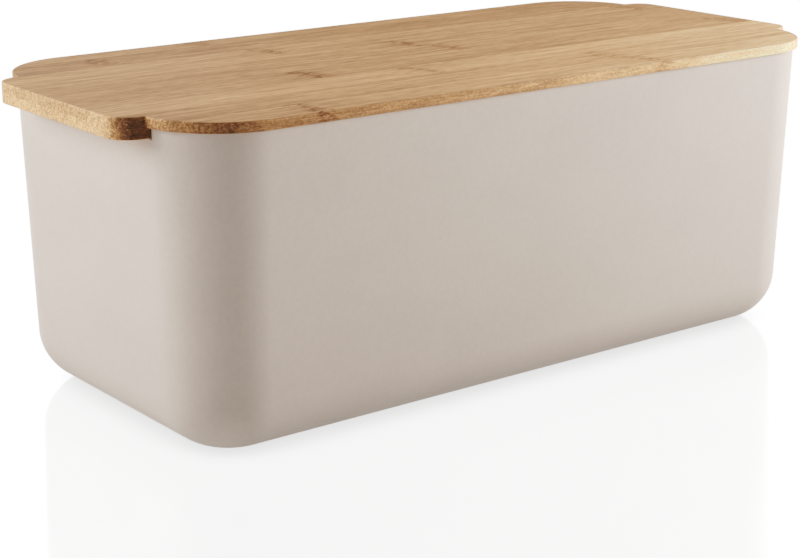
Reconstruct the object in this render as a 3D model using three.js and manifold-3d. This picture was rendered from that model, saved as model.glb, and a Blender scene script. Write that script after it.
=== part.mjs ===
// Bread bin: a tapered, round-cornered plastic bin and the bamboo board that is its lid.
//
// Frame: millimetres, +Z up, +X along the bin. The origin is the middle of the footprint, on the
// surface that the bin stands on.
//
// The lid is glued up from flat bamboo strips in two plies. The face ply covers the whole outline
// and rests on the rim. The back ply is smaller all round, so it drops into the bin's mouth and
// keeps the lid in place. Both plies run out into a tab at each end, which passes through a notch
// in the rim and stands past the wall, so that fingers can lift the lid.

import * as THREE from "three";
import { mergeVertices } from "three/addons/utils/BufferGeometryUtils.js";
import Module from "manifold-3d";

// Lid, seen from above.
const LID_LENGTH = 352; // without the tabs
const LID_WIDTH = 172;
const LID_CORNER_RADIUS = 36;
const TAB_REACH = 11.5; // how far each tab stands past the lid's end
const TAB_WIDTH = 105;
const TAB_CORNER_RADIUS = 10;
const INNER_CORNER_RADIUS = 1.5; // where a tab's side runs into the lid's corner

// Bamboo strips.
const PLY_THICKNESS = 4.5;
const STRIP_WIDTH = 20;
const FACE_SEAM_SHIFT = 12; // the face ply's seams lie this far off those of the back ply
const BACK_SEAM_SHIFT = 0;

// Bin.
const RIM_HEIGHT = 134.5;
const WALL = 2.8;
const FLOOR = 3;
const LIP_OVERHANG = 2; // lid beyond the rim's outside
const LID_CLEARANCE = 1.2; // back ply to the inside of the rim
const DRAFT_INSET = 3.8; // how much each wall leans in from the rim to the floor
const BOTTOM_FILLET = 24; // between wall and floor, on the outside
const NOTCH_CLEARANCE = 0.5; // beside each tab
const NOTCH_GAP = 0.3; // under each tab
const FOOT_RING_WIDTH = 5; // the flat ring that the bin stands on
const FOOT_RING_DEPTH = 0.8;

// Fineness of the round stretches.
const CORNER_STEPS = 10;
const FILLET_STEPS = 8;

const BACK_PLY_INSET = LIP_OVERHANG + WALL + LID_CLEARANCE;
const BACK_PLY_BASE = RIM_HEIGHT - PLY_THICKNESS;
const CUTTER_MARGIN = 5; // a cutter runs this far past what it cuts

const bambooFace = new THREE.MeshStandardMaterial({ color: 0xc39c6b, roughness: 0.6, metalness: 0 });
const bambooBack = new THREE.MeshStandardMaterial({ color: 0xcaa877, roughness: 0.65, metalness: 0 });
const mattPlastic = new THREE.MeshStandardMaterial({ color: 0xc3b7ac, roughness: 0.7, metalness: 0 });

const wasm = await Module();
wasm.setup();

// A closed three.js geometry as a solid that can be cut and joined.
function solidFrom(geometry) {
  const bare = geometry.clone();
  bare.deleteAttribute("normal");
  bare.deleteAttribute("uv");
  const merged = mergeVertices(bare, 1e-4);
  return new wasm.Manifold(
    new wasm.Mesh({
      numProp: 3,
      vertProperties: merged.attributes.position.array,
      triVerts: new Uint32Array(merged.index.array),
    }),
  );
}

function geometryFrom(solid) {
  const { vertProperties, triVerts } = solid.getMesh();
  const geometry = new THREE.BufferGeometry();
  geometry.setAttribute("position", new THREE.BufferAttribute(vertProperties, 3));
  geometry.setIndex(new THREE.BufferAttribute(triVerts, 1));
  geometry.computeVertexNormals();
  return geometry;
}

// A box given by its lowest and highest corners, as a cutter.
function boxSolid(low, high) {
  const size = new THREE.Vector3().subVectors(high, low);
  const centre = new THREE.Vector3().addVectors(low, high).multiplyScalar(0.5);
  return solidFrom(new THREE.BoxGeometry(...size).translate(...centre));
}

// A rectangle with round corners, centred on the origin.
function roundedRectangle(halfLength, halfWidth, radius) {
  const x = halfLength - radius;
  const y = halfWidth - radius;
  const shape = new THREE.Shape();
  shape.absarc(x, y, radius, 0, Math.PI / 2);
  shape.absarc(-x, y, radius, Math.PI / 2, Math.PI);
  shape.absarc(-x, -y, radius, Math.PI, 1.5 * Math.PI);
  shape.absarc(x, -y, radius, 1.5 * Math.PI, 2 * Math.PI);
  return shape;
}

// The rim's outline taken in by a distance, so that every corner keeps the same centre.
function rimOutline(inset) {
  const taken = LIP_OVERHANG + inset;
  return roundedRectangle(LID_LENGTH / 2 - taken, LID_WIDTH / 2 - taken, LID_CORNER_RADIUS - taken);
}

// A solid skinned over outlines at rising heights. Every outline has the same number of points.
function loft(sections) {
  const rings = sections.map(({ inset, height }) =>
    rimOutline(inset)
      .getPoints(CORNER_STEPS)
      .map((point) => new THREE.Vector3(point.x, point.y, height)),
  );
  const count = rings[0].length;
  const triangles = [];
  for (let level = 0; level + 1 < rings.length; level++) {
    const [below, above] = [rings[level], rings[level + 1]];
    for (let i = 0; i < count; i++) {
      const next = (i + 1) % count;
      triangles.push(below[i], below[next], above[next]);
      triangles.push(below[i], above[next], above[i]);
    }
  }
  const [bottom, top] = [rings[0], rings.at(-1)];
  for (let i = 1; i + 1 < count; i++) {
    triangles.push(bottom[0], bottom[i + 1], bottom[i]);
    triangles.push(top[0], top[i], top[i + 1]);
  }
  return solidFrom(new THREE.BufferGeometry().setFromPoints(triangles));
}

// The sections of a drafted wall that turns into a floor through a fillet tangent to both.
// wallInset is how far the wall lies inside the rim's outside, at the height of the rim.
function draftedSections(wallInset, floorHeight, fillet, topHeight) {
  const slope = DRAFT_INSET / RIM_HEIGHT;
  const draftAngle = Math.atan(slope);
  const insetAt = (height) => wallInset + slope * (RIM_HEIGHT - height);
  const centreHeight = floorHeight + fillet;
  const centreInset = insetAt(centreHeight) + fillet / Math.cos(draftAngle);
  const sections = [];
  for (let step = 0; step <= FILLET_STEPS; step++) {
    const angle = THREE.MathUtils.lerp(Math.PI / 2, draftAngle, step / FILLET_STEPS);
    sections.push({
      inset: centreInset - fillet * Math.cos(angle),
      height: centreHeight - fillet * Math.sin(angle),
    });
  }
  sections.push({ inset: insetAt(topHeight), height: topHeight });
  return sections;
}

// Bin: the outer shell less its cavity, the two rim notches and the hollow inside the foot ring.
function binBody() {
  const outside = draftedSections(0, 0, BOTTOM_FILLET, RIM_HEIGHT);
  const cavity = draftedSections(WALL, FLOOR, BOTTOM_FILLET - WALL, RIM_HEIGHT + CUTTER_MARGIN);
  const notchHalfWidth = TAB_WIDTH / 2 + NOTCH_CLEARANCE;
  const notches = boxSolid(
    new THREE.Vector3(-LID_LENGTH / 2, -notchHalfWidth, BACK_PLY_BASE - NOTCH_GAP),
    new THREE.Vector3(LID_LENGTH / 2, notchHalfWidth, RIM_HEIGHT + CUTTER_MARGIN),
  );
  const footHollow = loft([
    { inset: outside[0].inset + FOOT_RING_WIDTH, height: -CUTTER_MARGIN },
    { inset: outside[0].inset + FOOT_RING_WIDTH, height: FOOT_RING_DEPTH },
  ]);
  const solid = loft(outside).subtract(loft(cavity)).subtract(notches).subtract(footHollow);
  return geometryFrom(solid);
}

// One ply's outline: the lid's outline taken in by a distance, running out into the two tabs.
// The tabs aren't taken in, because both plies are flush there.
function plyOutline(inset) {
  const radius = LID_CORNER_RADIUS - inset;
  const cornerX = LID_LENGTH / 2 - LID_CORNER_RADIUS;
  const cornerY = LID_WIDTH / 2 - LID_CORNER_RADIUS;
  const tabX = LID_LENGTH / 2 + TAB_REACH - TAB_CORNER_RADIUS;
  const tabY = TAB_WIDTH / 2 - TAB_CORNER_RADIUS;
  // The inner corner is a small arc that touches the tab's side and the lid's corner arc.
  const innerY = TAB_WIDTH / 2 + INNER_CORNER_RADIUS;
  const meeting = Math.asin((innerY - cornerY) / (radius + INNER_CORNER_RADIUS));
  const innerX = cornerX + (radius + INNER_CORNER_RADIUS) * Math.cos(meeting);
  const [quarter, half, full] = [Math.PI / 2, Math.PI, 2 * Math.PI];
  const shape = new THREE.Shape();
  shape.absarc(tabX, tabY, TAB_CORNER_RADIUS, 0, quarter);
  shape.absarc(innerX, innerY, INNER_CORNER_RADIUS, -quarter, meeting - half, true);
  shape.absarc(cornerX, cornerY, radius, meeting, quarter);
  shape.absarc(-cornerX, cornerY, radius, quarter, half - meeting);
  shape.absarc(-innerX, innerY, INNER_CORNER_RADIUS, -meeting, -quarter, true);
  shape.absarc(-tabX, tabY, TAB_CORNER_RADIUS, quarter, half);
  shape.absarc(-tabX, -tabY, TAB_CORNER_RADIUS, half, half + quarter);
  shape.absarc(-innerX, -innerY, INNER_CORNER_RADIUS, quarter, meeting, true);
  shape.absarc(-cornerX, -cornerY, radius, half + meeting, half + quarter);
  shape.absarc(cornerX, -cornerY, radius, half + quarter, full - meeting);
  shape.absarc(innerX, -innerY, INNER_CORNER_RADIUS, half - meeting, quarter, true);
  shape.absarc(tabX, -tabY, TAB_CORNER_RADIUS, half + quarter, full);
  return shape;
}

// The seams of a ply, with its two long edges as the first and the last.
function stripEdges(halfWidth, seamShift) {
  const first = Math.ceil((-halfWidth - seamShift) / STRIP_WIDTH);
  const edges = [-halfWidth];
  for (let y = first * STRIP_WIDTH + seamShift; y < halfWidth; y += STRIP_WIDTH) {
    if (y > -halfWidth) edges.push(y);
  }
  edges.push(halfWidth);
  return edges;
}

// One ply as its strips, front to back, each a mesh of its own.
function plyStrips({ name, inset, seamShift, base, material }) {
  const ply = new THREE.Group();
  const board = solidFrom(
    new THREE.ExtrudeGeometry(plyOutline(inset), {
      depth: PLY_THICKNESS,
      bevelEnabled: false,
      curveSegments: CORNER_STEPS,
    }),
  );
  const edges = stripEdges(LID_WIDTH / 2 - inset, seamShift);
  const reach = LID_LENGTH / 2 + TAB_REACH + CUTTER_MARGIN;
  for (let i = 0; i + 1 < edges.length; i++) {
    const slice = boxSolid(
      new THREE.Vector3(-reach, edges[i], -CUTTER_MARGIN),
      new THREE.Vector3(reach, edges[i + 1], PLY_THICKNESS + CUTTER_MARGIN),
    );
    const strip = new THREE.Mesh(geometryFrom(board.intersect(slice)), material);
    strip.name = `${name}_${i + 1}`;
    ply.add(strip);
  }
  ply.position.z = base;
  return ply;
}

function lid() {
  const group = new THREE.Group();
  group.add(
    plyStrips({
      name: "lid_face_strip",
      inset: 0,
      seamShift: FACE_SEAM_SHIFT,
      base: RIM_HEIGHT,
      material: bambooFace,
    }),
    plyStrips({
      name: "lid_back_strip",
      inset: BACK_PLY_INSET,
      seamShift: BACK_SEAM_SHIFT,
      base: BACK_PLY_BASE,
      material: bambooBack,
    }),
  );
  return group;
}

const breadBin = new THREE.Group();
const body = new THREE.Mesh(binBody(), mattPlastic);
body.name = "bin_body";
breadBin.add(body, lid());

export default breadBin;
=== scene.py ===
"""The looks of a bread bin: a matt moulded bin under a lid of bamboo strips.

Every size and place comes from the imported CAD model, in metres, in its own frame: +Z up, +X along
the bin, the origin in the middle of the footprint. The seed of each pattern is fixed.
"""

import math

import bmesh
import bpy
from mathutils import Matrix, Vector

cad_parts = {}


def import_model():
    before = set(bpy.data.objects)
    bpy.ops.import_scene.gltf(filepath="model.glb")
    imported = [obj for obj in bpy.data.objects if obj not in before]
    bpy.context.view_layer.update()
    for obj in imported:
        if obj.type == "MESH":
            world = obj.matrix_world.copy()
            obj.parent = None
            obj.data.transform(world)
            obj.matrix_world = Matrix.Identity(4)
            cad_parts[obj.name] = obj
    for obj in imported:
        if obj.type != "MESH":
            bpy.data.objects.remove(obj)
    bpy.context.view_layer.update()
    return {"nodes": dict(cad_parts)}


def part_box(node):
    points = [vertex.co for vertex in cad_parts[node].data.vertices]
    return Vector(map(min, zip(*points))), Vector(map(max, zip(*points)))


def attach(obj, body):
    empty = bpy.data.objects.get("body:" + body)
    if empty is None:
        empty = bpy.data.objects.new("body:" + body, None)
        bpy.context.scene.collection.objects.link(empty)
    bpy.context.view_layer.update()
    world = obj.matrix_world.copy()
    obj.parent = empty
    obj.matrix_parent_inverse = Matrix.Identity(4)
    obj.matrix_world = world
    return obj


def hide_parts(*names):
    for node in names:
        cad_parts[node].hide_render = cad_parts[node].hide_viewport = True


MM = 0.001

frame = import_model()


# ---------------------------------------------------------------- sizes, read from the CAD model


def strips_of(ply):
    """The ply's CAD nodes from front to back."""
    names = [name for name in frame["nodes"] if name.startswith(ply)]
    return sorted(names, key=lambda name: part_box(name)[0].y)


FACE_STRIPS = strips_of("lid_face_strip_")
BACK_STRIPS = strips_of("lid_back_strip_")
BIN_HALF_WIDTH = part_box("bin_body")[1].y

LID_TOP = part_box(FACE_STRIPS[0])[1].z
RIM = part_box(FACE_STRIPS[0])[0].z
BACK_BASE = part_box(BACK_STRIPS[0])[0].z
LID_HALF_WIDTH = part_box(FACE_STRIPS[-1])[1].y
BACK_HALF_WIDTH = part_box(BACK_STRIPS[-1])[1].y
TAB_END = max(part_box(name)[1].x for name in FACE_STRIPS)

# These are the CAD model's own driving dimensions, which its boxes don't show.
LID_HALF_LENGTH = 176 * MM
LID_CORNER_RADIUS = 36 * MM
TAB_HALF_WIDTH = 52.5 * MM
TAB_CORNER_RADIUS = 10 * MM
INNER_CORNER_RADIUS = 1.5 * MM
WALL = 2.8 * MM
FLOOR = 3 * MM
DRAFT_INSET = 3.8 * MM
BOTTOM_FILLET = 24 * MM
NOTCH_HALF_WIDTH = 53 * MM
NOTCH_CLEARANCE = 0.3 * MM
NOTCH_BASE = BACK_BASE - NOTCH_CLEARANCE
FOOT_RING_WIDTH = 5 * MM
FOOT_RING_DEPTH = 0.8 * MM

CORNER_X = LID_HALF_LENGTH - LID_CORNER_RADIUS  # the centres of all the large corners
CORNER_Y = LID_HALF_WIDTH - LID_CORNER_RADIUS
RIM_CORNER_RADIUS = BIN_HALF_WIDTH - CORNER_Y


# ---------------------------------------------------------------- mesh helpers


SHARP_ANGLE = math.radians(40)
WELD = 1e-7  # points closer than this, in metres, are one point


def piece_from(name, bm, body, material, replaced):
    """Turns a bmesh into a piece that rides on a body and stands for CAD nodes."""
    mesh = bpy.data.meshes.new(name)
    bm.to_mesh(mesh)
    bm.free()
    mesh.materials.append(material)
    piece = bpy.data.objects.new(name, mesh)
    bpy.context.scene.collection.objects.link(piece)
    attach(piece, body)
    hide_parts(*replaced)
    return piece


def smooth(piece):
    """Smooth shading up to an angle, with flat faces kept flat beside their round edges."""
    mesh = piece.data
    mesh.shade_smooth()
    mesh.set_sharp_from_angle(angle=SHARP_ANGLE)
    weighted = piece.modifiers.new("flat_faces_stay_flat", "WEIGHTED_NORMAL")
    weighted.keep_sharp = True
    weighted.weight = 100


def arc(centre_x, centre_y, radius, start, end, steps):
    """Points on an arc as (x, y, outward x, outward y). A negative radius is a hollow arc."""
    points = []
    for i in range(steps + 1):
        angle = start + (end - start) * i / steps
        direction = (math.cos(angle), math.sin(angle))
        facing = math.copysign(1, radius)
        points.append(
            (
                centre_x + abs(radius) * direction[0],
                centre_y + abs(radius) * direction[1],
                facing * direction[0],
                facing * direction[1],
            )
        )
    return points


# ---------------------------------------------------------------- lid


def quarter_outline(inset):
    """The lid's outline in the +X +Y quarter, counter-clockwise, with the tab's half."""
    radius = LID_CORNER_RADIUS - inset
    inner_y = TAB_HALF_WIDTH + INNER_CORNER_RADIUS
    reach = radius + INNER_CORNER_RADIUS
    meeting = math.asin((inner_y - CORNER_Y) / reach)
    inner_x = CORNER_X + reach * math.cos(meeting)
    tab_x = TAB_END - TAB_CORNER_RADIUS
    tab_y = TAB_HALF_WIDTH - TAB_CORNER_RADIUS
    right = math.pi / 2
    return (
        arc(tab_x, tab_y, TAB_CORNER_RADIUS, 0, right, 16)
        + arc(inner_x, inner_y, -INNER_CORNER_RADIUS, -right, meeting - math.pi, 8)
        + arc(CORNER_X, CORNER_Y, radius, meeting, right, 32)
    )


def whole_outline(quarter):
    """A +X +Y quarter mirrored into the closed outline."""
    half = quarter + [(-x, y, -nx, ny) for x, y, nx, ny in reversed(quarter)]
    return half + [(-x, -y, -nx, -ny) for x, y, nx, ny in half]


def lip_share(x, y):
    """One under the lip and none on the tabs, where the two plies meet flush."""
    if abs(x) < CORNER_X:
        return 1
    return min(max((abs(y) - TAB_HALF_WIDTH) / INNER_CORNER_RADIUS, 0), 1)


def board(outline, base, top, base_round, top_round, base_share):
    """A closed board over an outline, with its lower and upper edges rounded.

    The share of the lower rounding that a point (x, y) keeps is base_share(x, y).
    """
    steps = 4
    levels = []
    for i in range(steps + 1):
        angle = math.pi / 2 * i / steps
        levels.append((base_round * (1 - math.sin(angle)), base + base_round * (1 - math.cos(angle))))
    for i in range(steps + 1):
        angle = math.pi / 2 * i / steps
        levels.append((top_round * (1 - math.cos(angle)), top - top_round * (1 - math.sin(angle))))
    bm = bmesh.new()
    rings = []
    for level, (inset, height) in enumerate(levels):
        ring = []
        for x, y, nx, ny in outline:
            kept = inset * (base_share(x, y) if level < steps else 1)
            ring.append(bm.verts.new((x - nx * kept, y - ny * kept, height)))
        rings.append(ring)
    count = len(outline)
    for below, above in zip(rings, rings[1:]):
        for i in range(count):
            j = (i + 1) % count
            bm.faces.new((below[i], below[j], above[j], above[i]))
    bm.faces.new(list(reversed(rings[0])))
    bm.faces.new(rings[-1])
    bmesh.ops.remove_doubles(bm, verts=bm.verts, dist=WELD)
    return bm


def cut_across(bm, y, keep_above):
    """Cuts a closed mesh at a plane across Y and closes the cut."""
    geometry = bm.verts[:] + bm.edges[:] + bm.faces[:]
    cut = bmesh.ops.bisect_plane(
        bm,
        geom=geometry,
        dist=WELD,
        plane_co=(0, y, 0),
        plane_no=(0, 1, 0),
        clear_inner=keep_above,
        clear_outer=not keep_above,
    )
    edges = [item for item in cut["geom_cut"] if isinstance(item, bmesh.types.BMEdge)]
    bmesh.ops.holes_fill(bm, edges=edges, sides=0)


EDGE_ROUND = 0.6 * MM
HIDDEN_ROUND = 0.4 * MM


def face_board():
    outline = whole_outline(quarter_outline(0))
    return board(outline, RIM, LID_TOP, HIDDEN_ROUND, EDGE_ROUND, lip_share)


def back_board():
    outline = whole_outline(quarter_outline(LID_HALF_WIDTH - BACK_HALF_WIDTH))
    return board(outline, BACK_BASE, RIM, EDGE_ROUND, 0, lambda x, y: 1)


def lid_strip(node, bm, half_width, material):
    """One strip: the ply's whole board cut at the strip's seams."""
    low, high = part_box(node)
    near_edge = 0.1 * MM
    if low.y > -half_width + near_edge:
        cut_across(bm, low.y, keep_above=True)
    if high.y < half_width - near_edge:
        cut_across(bm, high.y, keep_above=False)
    bmesh.ops.recalc_face_normals(bm, faces=bm.faces)
    piece = piece_from(node.replace("lid_", "bamboo_"), bm, "lid", material, [node])
    smooth(piece)
    return piece


# ---------------------------------------------------------------- bin

RIM_ROUND = 0.4 * MM
RIM_ROUND_STEPS = 3
RIM_EDGE_ANGLE = math.radians(50)  # edges sharper than this are rounded
NOTCH_ANGLE = math.asin((NOTCH_HALF_WIDTH - CORNER_Y) / RIM_CORNER_RADIUS)


def columns():
    """The bin's outline as (centre x, centre y, direction x, direction y), counter-clockwise.

    A point of the outline lies one radius from its centre, in its direction. The flat walls are
    columns whose centres move along the wall. The ends of the notches are columns of their own.
    """
    corner_steps = 32
    wall_steps = 8
    right = math.pi / 2
    found = []
    for i in range(wall_steps):
        found.append((CORNER_X, CORNER_Y * i / wall_steps, 1, 0))
    beyond_notch = right - NOTCH_ANGLE
    angles = [0, NOTCH_ANGLE]
    angles += [NOTCH_ANGLE + beyond_notch * i / corner_steps for i in range(1, corner_steps + 1)]
    for angle in angles:
        found.append((CORNER_X, CORNER_Y, math.cos(angle), math.sin(angle)))
    for i in range(1, wall_steps + 1):
        found.append((CORNER_X * (1 - i / wall_steps), CORNER_Y, 0, 1))
    half = found + [(-x, y, -dx, dy) for x, y, dx, dy in reversed(found[:-1])]
    return half + [(-x, -y, -dx, -dy) for x, y, dx, dy in half[1:-1]]


def drafted_profile(wall_inset, floor_height, fillet, top_height, steps):
    """(inset, height) up a fillet tangent to floor and wall, and on up the drafted wall."""
    slope = DRAFT_INSET / RIM
    draft = math.atan(slope)
    centre_height = floor_height + fillet
    centre_inset = wall_inset + slope * (RIM - centre_height) + fillet / math.cos(draft)
    profile = []
    for i in range(steps + 1):
        angle = math.pi / 2 + (draft - math.pi / 2) * i / steps
        inset = centre_inset - fillet * math.cos(angle)
        profile.append((inset, centre_height - fillet * math.sin(angle)))
    for height in (NOTCH_BASE, top_height):
        profile.append((wall_inset + slope * (RIM - height), height))
    return profile


def bin_body(material):
    """The moulded bin: outside and inside skins, with the rim's notches left open between them."""
    fillet_steps = 20
    outside = drafted_profile(0, 0, BOTTOM_FILLET, RIM, fillet_steps)
    inside = drafted_profile(WALL, FLOOR, BOTTOM_FILLET - WALL, RIM, fillet_steps)
    foot_inset = outside[0][0] + FOOT_RING_WIDTH
    foot = [(foot_inset, FOOT_RING_DEPTH), (foot_inset, 0)]
    around = columns()
    count = len(around)
    bm = bmesh.new()

    def ring(inset, height):
        radius = RIM_CORNER_RADIUS - inset
        return [bm.verts.new((cx + radius * dx, cy + radius * dy, height)) for cx, cy, dx, dy in around]

    outer = [ring(*point) for point in foot + outside]
    inner = [ring(*point) for point in inside]

    def in_notch(i):
        """Whether the stretch from column i to the next is inside a notch."""
        j = (i + 1) % count
        middle_y = abs(outer[-1][i].co.y + outer[-1][j].co.y) / 2
        at_end = abs(outer[-1][i].co.x) > CORNER_X
        return at_end and middle_y < NOTCH_HALF_WIDTH

    for i in range(count):
        j = (i + 1) % count
        cut = 1 if in_notch(i) else 0
        for level in range(len(outer) - 1 - cut):
            below, above = outer[level], outer[level + 1]
            bm.faces.new((below[i], below[j], above[j], above[i]))
        for level in range(len(inner) - 1 - cut):
            below, above = inner[level], inner[level + 1]
            bm.faces.new((below[j], below[i], above[i], above[j]))
        out_row, in_row = outer[-1 - cut], inner[-1 - cut]
        bm.faces.new((out_row[i], out_row[j], in_row[j], in_row[i]))
        before_cut = in_notch((i - 1) % count)
        if before_cut != bool(cut):
            side = [outer[-2][i], outer[-1][i], inner[-1][i], inner[-2][i]]
            bm.faces.new(side if cut else list(reversed(side)))
    bm.faces.new(list(reversed(outer[0])))
    bm.faces.new(inner[0])
    loose = [vert for vert in bm.verts if not vert.link_faces]
    bmesh.ops.delete(bm, geom=loose, context="VERTS")
    bmesh.ops.recalc_face_normals(bm, faces=bm.faces)
    rim_edges = [edge for edge in bm.edges if edge.calc_face_angle(0) > RIM_EDGE_ANGLE]
    bmesh.ops.bevel(
        bm,
        geom=rim_edges,
        offset=RIM_ROUND,
        segments=RIM_ROUND_STEPS,
        profile=0.5,
        affect="EDGES",
        clamp_overlap=True,
    )
    piece = piece_from("moulded_bin", bm, "bin", material, ["bin_body"])
    smooth(piece)
    return piece


# ---------------------------------------------------------------- materials


class Painter:
    """Adds nodes to a material or a world and joins them up."""

    def __init__(self, owner):
        owner.use_nodes = True
        self.owner = owner
        self.nodes = owner.node_tree.nodes
        self.links = owner.node_tree.links

    def feed(self, socket, value):
        """Joins an output to a socket, or sets the socket to a plain value."""
        if isinstance(value, bpy.types.NodeSocket):
            self.links.new(value, socket)
        else:
            socket.default_value = value

    def node(self, kind, inputs, **settings):
        made = self.nodes.new(kind)
        for setting, value in settings.items():
            setattr(made, setting, value)
        for name, value in inputs.items():
            self.feed(made.inputs[name], value)
        return made

    def math(self, operation, first, second=0.0, third=0.0):
        inputs = {0: first, 1: second, 2: third}
        return self.node("ShaderNodeMath", inputs, operation=operation).outputs[0]

    def vector_math(self, operation, first, second=(0, 0, 0)):
        return self.node("ShaderNodeVectorMath", {0: first, 1: second}, operation=operation)

    def place(self):
        """The point being shaded, in the object's own frame, in millimetres."""
        where = self.node("ShaderNodeTexCoord", {}).outputs["Object"]
        return self.tint(where, 1 / MM)

    def stretched(self, where, lengths, seed):
        """Coordinates that run once per length along each axis, shifted by a seed."""
        rates = tuple(1 / length for length in lengths)
        shift = (7.3 * seed, 3.1 * seed, 5.7 * seed)
        inputs = {0: where, 1: rates, 2: shift}
        return self.node("ShaderNodeVectorMath", inputs, operation="MULTIPLY_ADD").outputs[0]

    def noise(self, where, lengths, seed, detail=2.0):
        """Smooth noise from 0 to 1 with a feature size, in millimetres, along each axis."""
        inputs = {"Vector": self.stretched(where, lengths, seed), "Scale": 1.0, "Detail": detail}
        return self.node("ShaderNodeTexNoise", inputs).outputs["Fac"]

    def cells(self, where, lengths, seed):
        """The distance to the nearest of many scattered points, in feature sizes."""
        inputs = {"Vector": self.stretched(where, lengths, seed), "Scale": 1.0}
        return self.node("ShaderNodeTexVoronoi", inputs).outputs["Distance"]

    def ramp(self, value, start, end, low, high, curve="SMOOTHSTEP"):
        """A value carried from start..end to low..high and held beyond."""
        inputs = {"Value": value, 1: start, 2: end, 3: low, 4: high}
        return self.node("ShaderNodeMapRange", inputs, interpolation_type=curve).outputs["Result"]

    def product(self, values):
        """All the values multiplied together."""
        total = values[0]
        for value in values[1:]:
            total = self.math("MULTIPLY", total, value)
        return total

    def tint(self, colour, factor):
        """A colour, or any other vector, times a factor."""
        inputs = {0: colour, "Scale": factor}
        return self.node("ShaderNodeVectorMath", inputs, operation="SCALE").outputs[0]

    def blend(self, factor, first, second):
        """A mix of two colours."""
        inputs = {0: factor, 6: first, 7: second}
        return self.node("ShaderNodeMix", inputs, data_type="RGBA").outputs[2]

    def bump(self, height, strength, distance):
        inputs = {"Height": height, "Strength": strength, "Distance": distance}
        return self.node("ShaderNodeBump", inputs).outputs["Normal"]


BAMBOO = (0.60, 0.321, 0.168)  # on the flat faces
BAMBOO_EDGE = (0.605, 0.298, 0.138)  # on the sawn edges and ends
BAMBOO_BROWN = (0.17, 0.07, 0.03)  # in the knuckles
PALEST = (0.95, 0.95, 0.95)
KNUCKLE_SLANT = 0.25


def knuckle(paint, where, centre_y, x, half_width, strength, seed):
    """How brown a strip is around one knuckle: a ragged band of flecks inside a streaky halo."""
    swing = 1.6 * half_width
    parts = paint.node("ShaderNodeSeparateXYZ", {0: where}).outputs
    across = paint.math("SUBTRACT", parts["Y"], centre_y)
    slanted = paint.math("MULTIPLY_ADD", across, KNUCKLE_SLANT, parts["X"])
    wander = paint.noise(where, (40, 5, 5), seed + 0.5)
    moved = paint.math("MULTIPLY_ADD", wander, swing, slanted)
    away = paint.math("ABSOLUTE", paint.math("SUBTRACT", moved, x + swing / 2))
    band = paint.ramp(away, 0.3 * half_width, half_width, 1, 0)
    flecks = paint.ramp(paint.noise(where, (3.5, 1.3, 1.3), seed + 1.5, 3), 0.45, 0.58, 0.15, 1)
    halo = paint.ramp(away, 0, 4 * half_width, 1, 0)
    streaks = paint.ramp(paint.noise(where, (12, 0.9, 0.9), seed + 2.5), 0.45, 0.75, 0, 0.5)
    core = paint.product([band, flecks, strength])
    glow = paint.product([halo, streaks, strength])
    return paint.math("MAXIMUM", core, glow)


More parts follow.
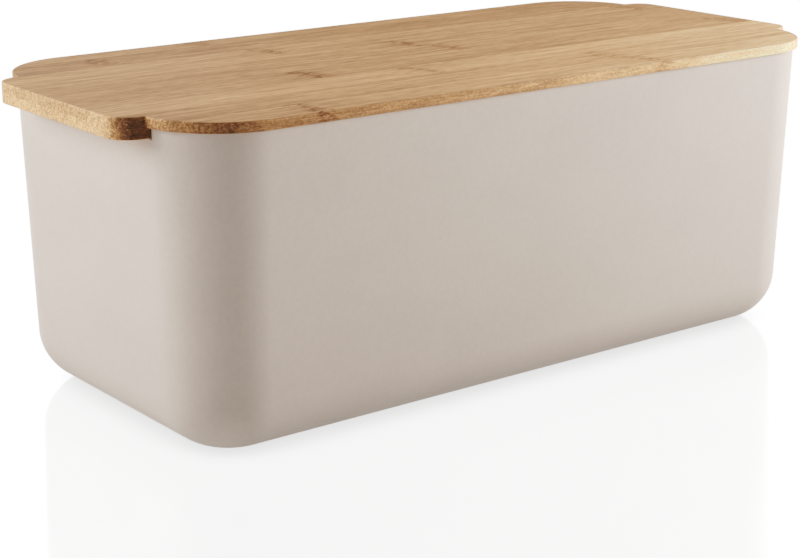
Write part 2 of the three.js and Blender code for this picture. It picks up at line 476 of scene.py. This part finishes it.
def bamboo(name, seed, centre_y, seams, tones, edge_shade_and_highlight, knuckles):
    """Bamboo cut along the grain: long streaks, fibre bundles that show as dots at the ends.

    The tones are how light the strip is at its left and right ends, partly its own tone and partly
    painted light and shade. The edge tones are how light its outer edge is at the left, in the middle
    and at the right, where a dark end is painted shade and a light end a painted highlight. Each
    knuckle is (x, half width, strength). Lengths are in millimetres.
    """
    paint = Painter(bpy.data.materials.new(name))
    where = paint.place()
    parts = paint.node("ShaderNodeSeparateXYZ", {0: where}).outputs
    normal = paint.node("ShaderNodeTexCoord", {}).outputs["Normal"]
    facing = paint.node("ShaderNodeSeparateXYZ", {0: normal}).outputs
    facing_x = paint.math("ABSOLUTE", facing["X"])
    facing_y = paint.math("ABSOLUTE", facing["Y"])
    reach = LID_HALF_LENGTH / MM

    # How light the strip is along its length and on its upright faces. This also stands in for some
    # of the light and shade that the lamps don't give, so it isn't the wood's own colour alone.
    tone = paint.ramp(parts["X"], -reach, reach, *tones, curve="LINEAR")
    # On the outer edges a dark end is painted shade and a light end a painted highlight.
    left, middle, right = edge_shade_and_highlight
    left_edge_shade = paint.ramp(parts["X"], -0.35 * reach, 0.2 * reach, left, middle)
    right_edge_highlight = paint.ramp(parts["X"], 0.35 * reach, 0.75 * reach, 0, right - middle)
    painted_edge_light = paint.math("ADD", left_edge_shade, right_edge_highlight)
    edge_share = paint.ramp(facing_y, 0.45, 1.0, 0, 1)
    edge = paint.math("MULTIPLY_ADD", edge_share, paint.math("SUBTRACT", painted_edge_light, 1), 1)
    upright = paint.ramp(paint.math("ABSOLUTE", facing["Z"]), 0.3, 0.8, 1, 0)
    pores = paint.ramp(paint.noise(where, (1.3, 0.9, 0.9), seed + 5), 0.38, 0.62, -0.28, 0.28)
    end_grain = paint.ramp(facing_x, 0, 0.6, 0.6, 1)
    sawn = paint.math("MULTIPLY_ADD", pores, paint.math("MULTIPLY", upright, end_grain), 1)
    # Faces that stand slantwise, such as the rounded corners, are darker: partly fibres cut on the
    # slant, partly painted shade.
    slant_grain_and_shade = paint.ramp(paint.math("MULTIPLY", facing_x, facing_y), 0.05, 0.5, 0.95, 0.62)

    # the grain, from wide clouds down to single fibres and fibre bundles
    clouds = paint.ramp(paint.noise(where, (80, 14, 14), seed), 0.3, 0.7, 0.95, 1.05)
    broad = paint.ramp(paint.noise(where, (200, 3.6, 3.6), seed + 1), 0.3, 0.7, 0.90, 1.10)
    medium = paint.ramp(paint.noise(where, (40, 1.8, 1.8), seed + 2, 3), 0.3, 0.7, 0.82, 1.18)
    fine_noise = paint.noise(where, (7, 0.45, 0.45), seed + 3, 3)
    fine = paint.ramp(fine_noise, 0.35, 0.65, 0.84, 1.15)
    bundle = paint.ramp(paint.cells(where, (20, 0.95, 0.95), seed + 4), 0.18, 0.36, 1, 0)
    depth = paint.ramp(facing_x, 0.2, 0.6, -0.24, 0.7)
    dashes = paint.math("MULTIPLY_ADD", bundle, depth, 1)
    factor = paint.product([tone, edge, slant_grain_and_shade, sawn, clouds, broad, medium, fine, dashes])
    for seam in seams:
        away = paint.math("ABSOLUTE", paint.math("SUBTRACT", parts["Y"], seam))
        factor = paint.math("MULTIPLY", factor, paint.ramp(away, 0.1, 0.5, 0.74, 1))

    brown = 0.0
    for number, (x, half_width, strength) in enumerate(knuckles):
        mark = knuckle(paint, where, centre_y, x, half_width, strength, seed + 10 + 5 * number)
        brown = paint.math("MAXIMUM", brown, mark)
    hue = paint.blend(upright, (*BAMBOO, 1), (*BAMBOO_EDGE, 1))
    wood = paint.vector_math("MINIMUM", paint.tint(hue, factor), PALEST).outputs["Vector"]
    colour = paint.blend(brown, wood, (*BAMBOO_BROWN, 1))

    shader = paint.nodes["Principled BSDF"]
    paint.feed(shader.inputs["Base Color"], colour)
    paint.feed(shader.inputs["Roughness"], paint.ramp(fine_noise, 0.3, 0.7, 0.62, 0.5))
    paint.feed(shader.inputs["Specular IOR Level"], 0.16)
    relief = paint.math("MULTIPLY_ADD", dashes, 0.6, fine_noise)
    paint.feed(shader.inputs["Normal"], paint.bump(relief, 0.25, 0.1 * MM))
    return paint.owner


GREIGE = (0.605, 0.49, 0.407)


def matt_plastic():
    """Warm grey-beige plastic from a finely textured mould, with faint flow marks."""
    paint = Painter(bpy.data.materials.new("bin_plastic"))
    where = paint.place()
    grain = paint.noise(where, (0.8, 0.8, 0.8), 1, 2)
    speckle = paint.ramp(paint.noise(where, (2.2, 2.2, 2.2), 4), 0.35, 0.65, 0.982, 1.018)
    flow = paint.ramp(paint.noise(where, (45, 45, 25), 2), 0.3, 0.7, 0.98, 1.02)
    shader = paint.nodes["Principled BSDF"]
    colour = paint.tint(GREIGE, paint.product([speckle, flow]))
    paint.feed(shader.inputs["Base Color"], colour)
    patches = paint.noise(where, (18, 18, 18), 3)
    paint.feed(shader.inputs["Roughness"], paint.ramp(patches, 0.3, 0.7, 0.47, 0.55))
    paint.feed(shader.inputs["Normal"], paint.bump(grain, 0.3, 0.05 * MM))
    return paint.owner


# ---------------------------------------------------------------- stage


CAMERA_AZIMUTH = math.radians(-37.49)  # left of the front
CAMERA_ELEVATION = math.radians(16.43)  # above the floor
CAMERA_DISTANCE = 882.5 * MM
CAMERA_TARGET = Vector((-6.95, 9.67, 30.03)) * MM
LENS_MM = 84.23
SENSOR_MM = 36


def camera():
    """A camera that looks at the bin from the front left and a little above."""
    outward = Vector(
        (
            math.sin(CAMERA_AZIMUTH) * math.cos(CAMERA_ELEVATION),
            -math.cos(CAMERA_AZIMUTH) * math.cos(CAMERA_ELEVATION),
            math.sin(CAMERA_ELEVATION),
        )
    )
    data = bpy.data.cameras.new("camera")
    data.sensor_width = SENSOR_MM
    data.lens = LENS_MM
    data.clip_start = 0.01
    view = bpy.data.objects.new("camera", data)
    view.location = CAMERA_TARGET + CAMERA_DISTANCE * outward
    view.rotation_euler = (-outward).to_track_quat("-Z", "Y").to_euler()
    bpy.context.scene.collection.objects.link(view)
    bpy.context.scene.camera = view


BIN_MIDDLE = Vector((0, 0, 0.08))


def lamp(name, location, size, energy):
    """A square softbox turned to the middle of the bin."""
    data = bpy.data.lights.new(name, "AREA")
    data.shape = "SQUARE"
    data.size = size
    data.energy = energy
    obj = bpy.data.objects.new(name, data)
    obj.location = location
    away = Vector(location) - BIN_MIDDLE
    obj.rotation_euler = away.to_track_quat("Z", "Y").to_euler()
    bpy.context.scene.collection.objects.link(obj)


def lamps():
    lamp("behind_left", (-1.2, 1.2, 0.8), 1.0, 34.5)
    lamp("left", (-1.4, 0.4, 0.8), 0.9, 8.8)
    lamp("behind", (0.3, 1.6, 0.9), 1.2, 3.5)
    lamp("right", (1.5, 0, 0.7), 0.9, 17.0)
    lamp("right_front_low", (0.6, -0.4, 0.3), 0.25, 6.0)


FLOOR_REACH = 6
CONTACT_SHADOW = 30 * MM
MIRROR_COLOUR = (0.24, 0.24, 0.24, 1)
MIRROR_ROUGHNESS = 0.1
OVAL_SQUEEZE = (0.5, 1, 0)  # makes distances from the bin's middle follow its long shape
UNDER_BIN, CLEAR_OF_BIN = 80, 260  # such distances, in millimetres


def floor():
    """A white table.

    Seen directly, it glows white, with a painted contact shadow that dims the glow right beside the
    bin, and a faint mirror image. To everything else it is a white surface with a soft painted glow,
    stronger near the bin, and painted shade that makes it greyer under the bin.
    """
    mesh = bpy.data.meshes.new("floor")
    reach = FLOOR_REACH
    corners = [(-reach, -reach, 0), (reach, -reach, 0), (reach, reach, 0), (-reach, reach, 0)]
    mesh.from_pydata(corners, [], [(0, 1, 2, 3)])
    paint = Painter(bpy.data.materials.new("white_floor"))
    paint.nodes.remove(paint.nodes["Principled BSDF"])

    # Right beside the bin the glow dims: a painted contact shadow.
    open_sky = paint.node("ShaderNodeAmbientOcclusion", {"Distance": CONTACT_SHADOW}).outputs["AO"]
    glow = paint.node("ShaderNodeEmission", {"Strength": paint.ramp(open_sky, 0, 0.6, 1.1, 1.85)})
    finish = {"Color": MIRROR_COLOUR, "Roughness": MIRROR_ROUGHNESS}
    mirror = paint.node("ShaderNodeBsdfGlossy", finish)
    table = paint.node("ShaderNodeAddShader", {0: glow.outputs[0], 1: mirror.outputs[0]})

    oval = paint.vector_math("MULTIPLY", paint.place(), OVAL_SQUEEZE).outputs["Vector"]
    away = paint.vector_math("LENGTH", oval).outputs["Value"]
    # To all but the camera the floor is greyer under the bin, a painted shade, and glows more there, a
    # painted bounce light.
    whiteness_with_painted_shade = paint.ramp(away, UNDER_BIN, CLEAR_OF_BIN, 0.25, 0.62)
    white = paint.node("ShaderNodeBsdfDiffuse", {"Color": whiteness_with_painted_shade})
    bounce_strength = paint.ramp(away, UNDER_BIN, CLEAR_OF_BIN, 0.38, 0.28)
    bounce = paint.node("ShaderNodeEmission", {"Strength": bounce_strength})
    lit = paint.node("ShaderNodeAddShader", {0: white.outputs[0], 1: bounce.outputs[0]})

    seen = paint.node("ShaderNodeLightPath", {}).outputs["Is Camera Ray"]
    mixed = paint.node("ShaderNodeMixShader", {0: seen, 1: lit.outputs[0], 2: table.outputs[0]})
    paint.feed(paint.nodes["Material Output"].inputs["Surface"], mixed.outputs[0])
    mesh.materials.append(paint.owner)
    obj = bpy.data.objects.new("floor", mesh)
    bpy.context.scene.collection.objects.link(obj)
    return obj


CARD_DISTANCE = 3.0
CARD_HEIGHT = 4.0
CARD_BEARING = math.radians(52.5)
CARD_WATTS_PER_SQUARE_METRE = 8.6


def backdrops(table):
    """White cards on four sides and overhead that only the table mirrors."""
    only_table = bpy.data.collections.new("lit_by_backdrops")
    only_table.objects.link(table)
    cards = [(Vector((0, 0, CARD_HEIGHT)), Vector((0, 0, 1)), 2 * CARD_DISTANCE)]
    for quarter in range(4):
        bearing = CARD_BEARING + math.pi / 2 * quarter
        outward = Vector((math.cos(bearing), math.sin(bearing), 0))
        middle = CARD_DISTANCE * outward + Vector((0, 0, CARD_HEIGHT / 2))
        cards.append((middle, outward, CARD_HEIGHT))
    for middle, outward, height in cards:
        data = bpy.data.lights.new("backdrop", "AREA")
        data.shape = "RECTANGLE"
        data.size = 2 * CARD_DISTANCE
        data.size_y = height
        data.energy = CARD_WATTS_PER_SQUARE_METRE * data.size * data.size_y
        card = bpy.data.objects.new("backdrop", data)
        card.location = middle
        card.rotation_euler = outward.to_track_quat("Z", "Y").to_euler()
        card.visible_diffuse = False
        card.visible_camera = False
        card.light_linking.receiver_collection = only_table
        bpy.context.scene.collection.objects.link(card)


SKY_STRENGTH = 2.6


def world():
    """White to the eye and dark to everything else."""
    paint = Painter(bpy.data.worlds.new("world"))
    seen = paint.node("ShaderNodeLightPath", {}).outputs["Is Camera Ray"]
    paint.feed(paint.nodes["Background"].inputs["Color"], (1, 1, 1, 1))
    paint.feed(paint.nodes["Background"].inputs["Strength"], paint.math("MULTIPLY", seen, SKY_STRENGTH))
    bpy.context.scene.world = paint.owner


# How the light is shown: levels as a share of the brightest, and how light each one looks. All but
# the last two points are samples of Blender's own Filmic view with its High Contrast look.
BRIGHTEST = 2.5
TONE_CURVE = [
    (0.02, 0.038),
    (0.04, 0.102),
    (0.072, 0.216),
    (0.144, 0.41),
    (0.24, 0.57),
    (0.4, 0.716),
    (0.6, 0.84),
    (0.8, 0.93),
]


def tone():
    """A soft shoulder, so that light parts keep their colour up to the brightest level."""
    view = bpy.context.scene.view_settings
    view.view_transform = "Standard"
    view.use_curve_mapping = True
    mapping = view.curve_mapping
    mapping.white_level = (BRIGHTEST, BRIGHTEST, BRIGHTEST)
    combined = mapping.curves[3]
    for level, shown in TONE_CURVE:
        combined.points.new(level, shown)
    mapping.update()


# ---------------------------------------------------------------- the whole


def inner_seams(strips):
    """Where each strip meets its neighbours, in millimetres along Y."""
    joints = [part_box(node)[1].y / MM for node in strips[:-1]]
    return [joints[max(i - 1, 0) : i + 1] for i in range(len(strips))]


FACE_SEED, BACK_SEED, STRIP_SEED_STEP = 3, 203, 20

# How light the outer edges are at the left, in the middle and at the right. The front edge's dark left
# end is painted shade and its light right end a painted highlight. The tab edges' dark left ends are
# painted shade under the lip, and their lighter right ends painted light.
PLAIN_EDGE = (1, 1, 1)
FRONT_EDGE_SHADE_AND_HIGHLIGHT = (0.78, 1.0, 1.8)
TAB_EDGE_SHADE_AND_LIGHT = (0.47, 1, 1.2)

# Each strip, front to back: how light it is at its left and right ends, how light its outer edge
# is at the left, in the middle and at the right, and its knuckles. The lightness was matched under
# this scene's lamps, so besides the wood's own tone it holds painted light and shade, such as the
# front strip's lighter right end.
FACE_LOOKS = [
    ((0.89, 1.61), FRONT_EDGE_SHADE_AND_HIGHLIGHT, [(-118, 7, 0.85), (64.5, 7, 0.6)]),
    ((0.86, 1.38), TAB_EDGE_SHADE_AND_LIGHT, [(57, 8, 0.5)]),
    ((1.10, 1.42), (0.41, 1, 1.2), [(-32, 6, 0.5)]),
    ((0.95, 1.00), PLAIN_EDGE, [(-76, 7, 0.8), (177, 7, 0.7)]),
    ((0.95, 1.03), PLAIN_EDGE, [(14, 6, 0.7)]),
    ((1.03, 0.94), PLAIN_EDGE, [(4, 6, 0.8)]),
    ((1.10, 0.98), TAB_EDGE_SHADE_AND_LIGHT, [(-58, 6, 0.7), (169, 7, 0.7)]),
    ((0.83, 0.83), TAB_EDGE_SHADE_AND_LIGHT, [(-132, 9, 0.75)]),
    ((0.94, 0.85), PLAIN_EDGE, [(-72, 6, 0.6)]),
]
BACK_LOOKS = [
    ((1.20, 1.00), PLAIN_EDGE, [(80, 4, 0.6)]),
    ((1.15, 1.05), (0.34, 1, 1.2), [(-20, 4, 0.6)]),
    ((1.28, 1.10), PLAIN_EDGE, [(120, 4, 0.6)]),
    ((1.20, 1.00), PLAIN_EDGE, [(-95, 4, 0.6)]),
    ((1.27, 1.15), PLAIN_EDGE, [(35, 4, 0.6)]),
    ((1.30, 1.05), PLAIN_EDGE, [(-140, 4, 0.6)]),
    ((1.22, 1.00), TAB_EDGE_SHADE_AND_LIGHT, [(10, 4, 0.6)]),
    ((1.20, 1.05), PLAIN_EDGE, [(-60, 4, 0.6)]),
]


def lid():
    plies = [
        ("bamboo_face", FACE_STRIPS, FACE_LOOKS, FACE_SEED, face_board, LID_HALF_WIDTH),
        ("bamboo_back", BACK_STRIPS, BACK_LOOKS, BACK_SEED, back_board, BACK_HALF_WIDTH),
    ]
    for slot, strips, looks, first_seed, whole_board, half_width in plies:
        seams = inner_seams(strips)
        for i, node in enumerate(strips):
            low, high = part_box(node)
            centre_y = (low.y + high.y) / 2 / MM
            seed = first_seed + STRIP_SEED_STEP * i
            wood = bamboo(f"{slot}_{i + 1}", seed, centre_y, seams[i], *looks[i])
            lid_strip(node, whole_board(), half_width, wood)


bin_body(matt_plastic())
lid()
camera()
lamps()
backdrops(floor())
world()
tone()
